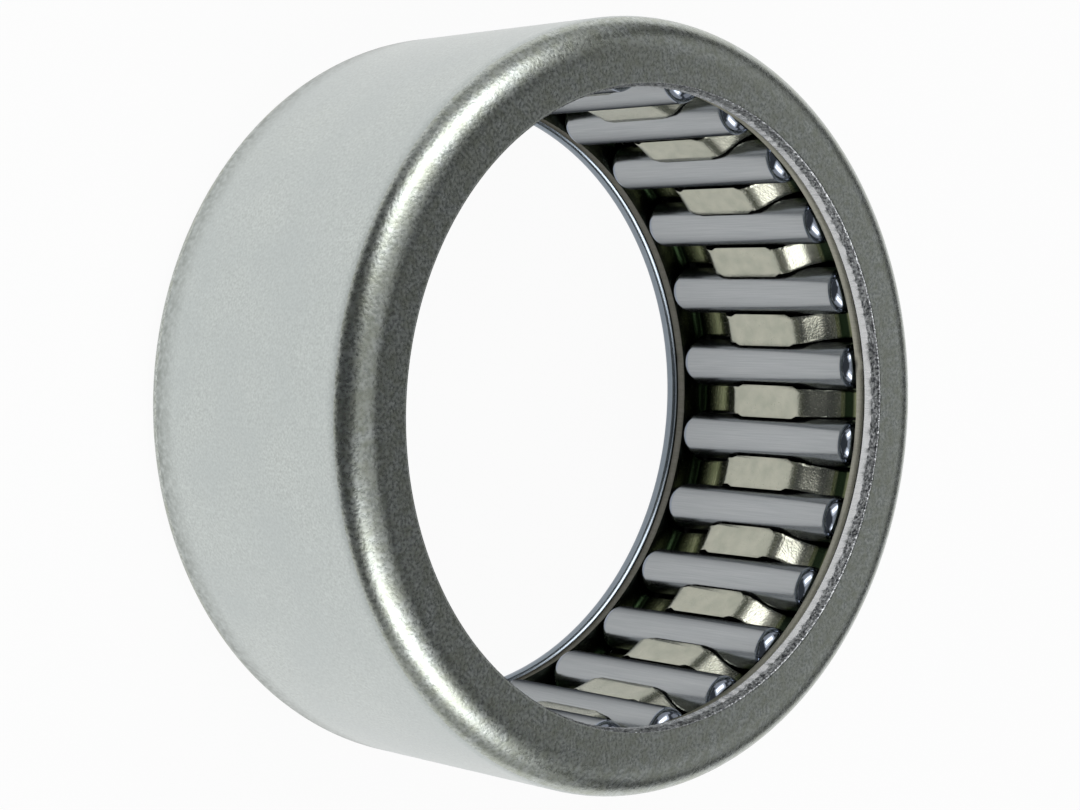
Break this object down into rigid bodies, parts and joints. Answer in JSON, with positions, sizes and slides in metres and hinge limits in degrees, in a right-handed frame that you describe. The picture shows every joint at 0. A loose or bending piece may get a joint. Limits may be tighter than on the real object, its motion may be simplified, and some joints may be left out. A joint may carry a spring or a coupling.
{
  "type": "needle roller bearing",
  "caption": "Drawn-cup needle roller bearing, open at both ends: a thin steel cup with two inward lips around a pierced cage of fine cylindrical rollers.",
  "frame": {"origin": "centre of the bearing: on its axis, halfway along its width", "axes": "+Z along the axis towards the front face (thick punched lip); +X through the middle of needle_01"},
  "size_m": [0.037, 0.037, 0.016],
  "materials": {
    "cup_steel": "case-hardened drawn strip, tumbled grey and lightly oiled, with a brushed outside",
    "cage_steel": "pressed strip, satin, with an oily warm grey sheen",
    "roller_steel": "ground bearing steel, fine satin"
  },
  "bodies": {
    "cup": {"outer_ring": "cup_steel"},
    "cage": {"cage": "cage_steel"},
    "needle_01": {"needle_01": "roller_steel"},
    "needle_02": {"needle_02": "roller_steel"},
    "needle_03": {"needle_03": "roller_steel"},
    "needle_04": {"needle_04": "roller_steel"},
    "needle_05": {"needle_05": "roller_steel"},
    "needle_06": {"needle_06": "roller_steel"},
    "needle_07": {"needle_07": "roller_steel"},
    "needle_08": {"needle_08": "roller_steel"},
    "needle_09": {"needle_09": "roller_steel"},
    "needle_10": {"needle_10": "roller_steel"},
    "needle_11": {"needle_11": "roller_steel"},
    "needle_12": {"needle_12": "roller_steel"},
    "needle_13": {"needle_13": "roller_steel"},
    "needle_14": {"needle_14": "roller_steel"},
    "needle_15": {"needle_15": "roller_steel"},
    "needle_16": {"needle_16": "roller_steel"},
    "needle_17": {"needle_17": "roller_steel"},
    "needle_18": {"needle_18": "roller_steel"},
    "needle_19": {"needle_19": "roller_steel"},
    "needle_20": {"needle_20": "roller_steel"},
    "needle_21": {"needle_21": "roller_steel"},
    "needle_22": {"needle_22": "roller_steel"},
    "needle_23": {"needle_23": "roller_steel"},
    "needle_24": {"needle_24": "roller_steel"},
    "needle_25": {"needle_25": "roller_steel"}
  },
  "joints": [
    {"name": "cage_spin", "type": "hinge", "parent": "cup", "child": "cage", "pos_m": [0, 0, 0], "axis": [0, 0, 1], "continuous": true},
    {"name": "needle_01_spin", "type": "hinge", "parent": "cage", "child": "needle_01", "pos_m": [0.01625, 0, -0.00014], "axis": [0, 0, 1], "continuous": true},
    {"name": "needle_02_spin", "type": "hinge", "parent": "cage", "child": "needle_02", "pos_m": [0.01574, 0.00404, -0.00014], "axis": [0, 0, 1], "continuous": true},
    {"name": "needle_03_spin", "type": "hinge", "parent": "cage", "child": "needle_03", "pos_m": [0.01424, 0.00783, -0.00014], "axis": [0, 0, 1], "continuous": true},
    {"name": "needle_04_spin", "type": "hinge", "parent": "cage", "child": "needle_04", "pos_m": [0.01185, 0.01113, -0.00014], "axis": [0, 0, 1], "continuous": true},
    {"name": "needle_05_spin", "type": "hinge", "parent": "cage", "child": "needle_05", "pos_m": [0.00871, 0.01372, -0.00014], "axis": [0, 0, 1], "continuous": true},
    {"name": "needle_06_spin", "type": "hinge", "parent": "cage", "child": "needle_06", "pos_m": [0.00502, 0.01546, -0.00014], "axis": [0, 0, 1], "continuous": true},
    {"name": "needle_07_spin", "type": "hinge", "parent": "cage", "child": "needle_07", "pos_m": [0.00102, 0.01622, -0.00014], "axis": [0, 0, 1], "continuous": true},
    {"name": "needle_08_spin", "type": "hinge", "parent": "cage", "child": "needle_08", "pos_m": [-0.00305, 0.01597, -0.00014], "axis": [0, 0, 1], "continuous": true},
    {"name": "needle_09_spin", "type": "hinge", "parent": "cage", "child": "needle_09", "pos_m": [-0.00692, 0.01471, -0.00014], "axis": [0, 0, 1], "continuous": true},
    {"name": "needle_10_spin", "type": "hinge", "parent": "cage", "child": "needle_10", "pos_m": [-0.01036, 0.01252, -0.00014], "axis": [0, 0, 1], "continuous": true},
    {"name": "needle_11_spin", "type": "hinge", "parent": "cage", "child": "needle_11", "pos_m": [-0.01315, 0.00955, -0.00014], "axis": [0, 0, 1], "continuous": true},
    {"name": "needle_12_spin", "type": "hinge", "parent": "cage", "child": "needle_12", "pos_m": [-0.01511, 0.00598, -0.00014], "axis": [0, 0, 1], "continuous": true},
    {"name": "needle_13_spin", "type": "hinge", "parent": "cage", "child": "needle_13", "pos_m": [-0.01613, 0.00204, -0.00014], "axis": [0, 0, 1], "continuous": true},
    {"name": "needle_14_spin", "type": "hinge", "parent": "cage", "child": "needle_14", "pos_m": [-0.01613, -0.00204, -0.00014], "axis": [0, 0, 1], "continuous": true},
    {"name": "needle_15_spin", "type": "hinge", "parent": "cage", "child": "needle_15", "pos_m": [-0.01511, -0.00598, -0.00014], "axis": [0, 0, 1], "continuous": true},
    {"name": "needle_16_spin", "type": "hinge", "parent": "cage", "child": "needle_16", "pos_m": [-0.01315, -0.00955, -0.00014], "axis": [0, 0, 1], "continuous": true},
    {"name": "needle_17_spin", "type": "hinge", "parent": "cage", "child": "needle_17", "pos_m": [-0.01036, -0.01252, -0.00014], "axis": [0, 0, 1], "continuous": true},
    {"name": "needle_18_spin", "type": "hinge", "parent": "cage", "child": "needle_18", "pos_m": [-0.00692, -0.01471, -0.00014], "axis": [0, 0, 1], "continuous": true},
    {"name": "needle_19_spin", "type": "hinge", "parent": "cage", "child": "needle_19", "pos_m": [-0.00305, -0.01597, -0.00014], "axis": [0, 0, 1], "continuous": true},
    {"name": "needle_20_spin", "type": "hinge", "parent": "cage", "child": "needle_20", "pos_m": [0.00102, -0.01622, -0.00014], "axis": [0, 0, 1], "continuous": true},
    {"name": "needle_21_spin", "type": "hinge", "parent": "cage", "child": "needle_21", "pos_m": [0.00502, -0.01546, -0.00014], "axis": [0, 0, 1], "continuous": true},
    {"name": "needle_22_spin", "type": "hinge", "parent": "cage", "child": "needle_22", "pos_m": [0.00871, -0.01372, -0.00014], "axis": [0, 0, 1], "continuous": true},
    {"name": "needle_23_spin", "type": "hinge", "parent": "cage", "child": "needle_23", "pos_m": [0.01185, -0.01113, -0.00014], "axis": [0, 0, 1], "continuous": true},
    {"name": "needle_24_spin", "type": "hinge", "parent": "cage", "child": "needle_24", "pos_m": [0.01424, -0.00783, -0.00014], "axis": [0, 0, 1], "continuous": true},
    {"name": "needle_25_spin", "type": "hinge", "parent": "cage", "child": "needle_25", "pos_m": [0.01574, -0.00404, -0.00014], "axis": [0, 0, 1], "continuous": true}
  ],
  "couplings": [
    {"joint": "needle_01_spin", "follows": "cage_spin", "ratio": -14.016},
    {"joint": "needle_02_spin", "follows": "cage_spin", "ratio": -14.016},
    {"joint": "needle_03_spin", "follows": "cage_spin", "ratio": -14.016},
    {"joint": "needle_04_spin", "follows": "cage_spin", "ratio": -14.016},
    {"joint": "needle_05_spin", "follows": "cage_spin", "ratio": -14.016},
    {"joint": "needle_06_spin", "follows": "cage_spin", "ratio": -14.016},
    {"joint": "needle_07_spin", "follows": "cage_spin", "ratio": -14.016},
    {"joint": "needle_08_spin", "follows": "cage_spin", "ratio": -14.016},
    {"joint": "needle_09_spin", "follows": "cage_spin", "ratio": -14.016},
    {"joint": "needle_10_spin", "follows": "cage_spin", "ratio": -14.016},
    {"joint": "needle_11_spin", "follows": "cage_spin", "ratio": -14.016},
    {"joint": "needle_12_spin", "follows": "cage_spin", "ratio": -14.016},
    {"joint": "needle_13_spin", "follows": "cage_spin", "ratio": -14.016},
    {"joint": "needle_14_spin", "follows": "cage_spin", "ratio": -14.016},
    {"joint": "needle_15_spin", "follows": "cage_spin", "ratio": -14.016},
    {"joint": "needle_16_spin", "follows": "cage_spin", "ratio": -14.016},
    {"joint": "needle_17_spin", "follows": "cage_spin", "ratio": -14.016},
    {"joint": "needle_18_spin", "follows": "cage_spin", "ratio": -14.016},
    {"joint": "needle_19_spin", "follows": "cage_spin", "ratio": -14.016},
    {"joint": "needle_20_spin", "follows": "cage_spin", "ratio": -14.016},
    {"joint": "needle_21_spin", "follows": "cage_spin", "ratio": -14.016},
    {"joint": "needle_22_spin", "follows": "cage_spin", "ratio": -14.016},
    {"joint": "needle_23_spin", "follows": "cage_spin", "ratio": -14.016},
    {"joint": "needle_24_spin", "follows": "cage_spin", "ratio": -14.016},
    {"joint": "needle_25_spin", "follows": "cage_spin", "ratio": -14.016}
  ]
}
